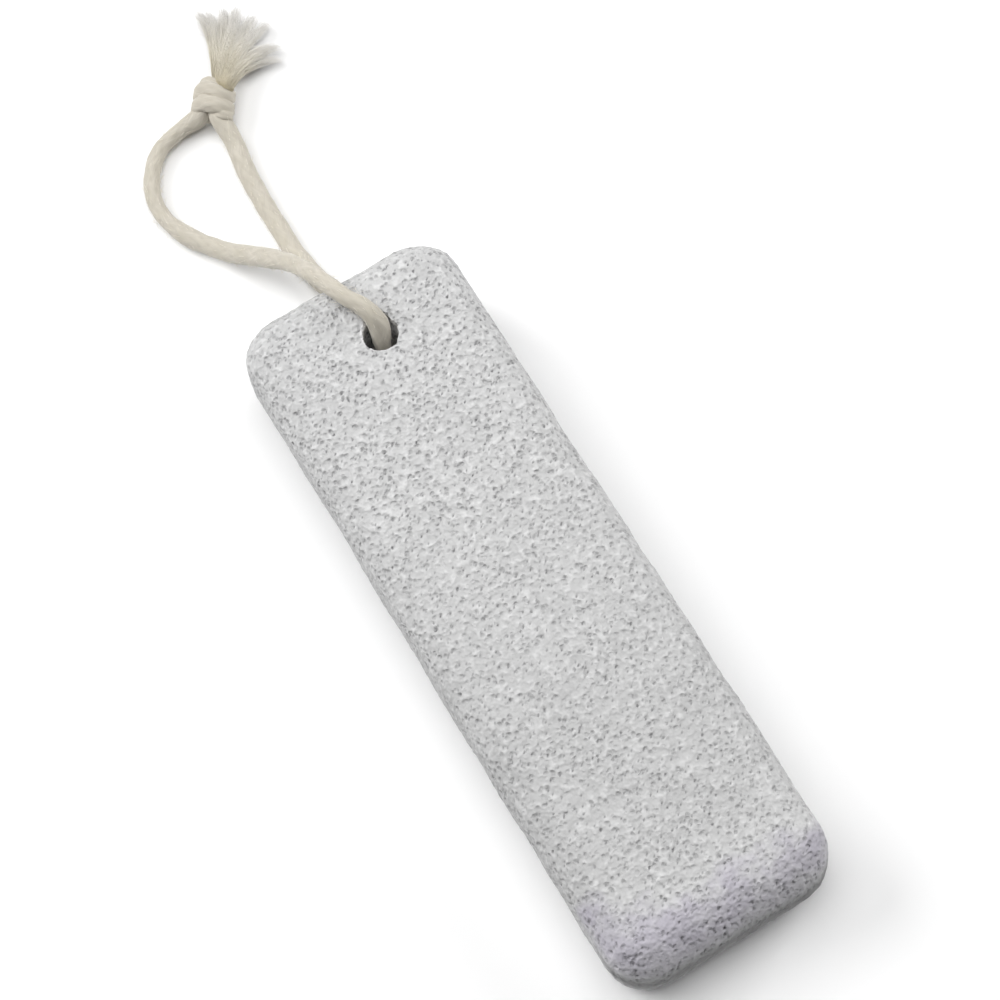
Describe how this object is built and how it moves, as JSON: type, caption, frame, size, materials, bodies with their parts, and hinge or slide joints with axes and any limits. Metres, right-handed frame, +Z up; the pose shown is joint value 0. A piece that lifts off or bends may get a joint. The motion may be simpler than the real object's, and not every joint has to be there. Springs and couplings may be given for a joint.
{
  "type": "pumice stone",
  "caption": "Rectangular pumice bar with rounded edges and a drilled hole near one end, with a knotted cotton hanging cord looped through it, lying on a surface.",
  "frame": {"origin": "on the surface that the stone lies on, under the middle of the stone without its cord", "axes": "+Y along the stone towards the hole, +Z up out of the stone's face, +X across its width"},
  "size_m": [0.046, 0.2297, 0.0291],
  "materials": {
    "pumice": "matt, light grey and full of small pores",
    "cord": "undyed braided cotton, matt cream"
  },
  "bodies": {
    "root": {"pumice_stone": "pumice", "hanging_cord": "cord", "cord_knot": "cord", "frayed_tuft": "cord"}
  },
  "joints": []
}
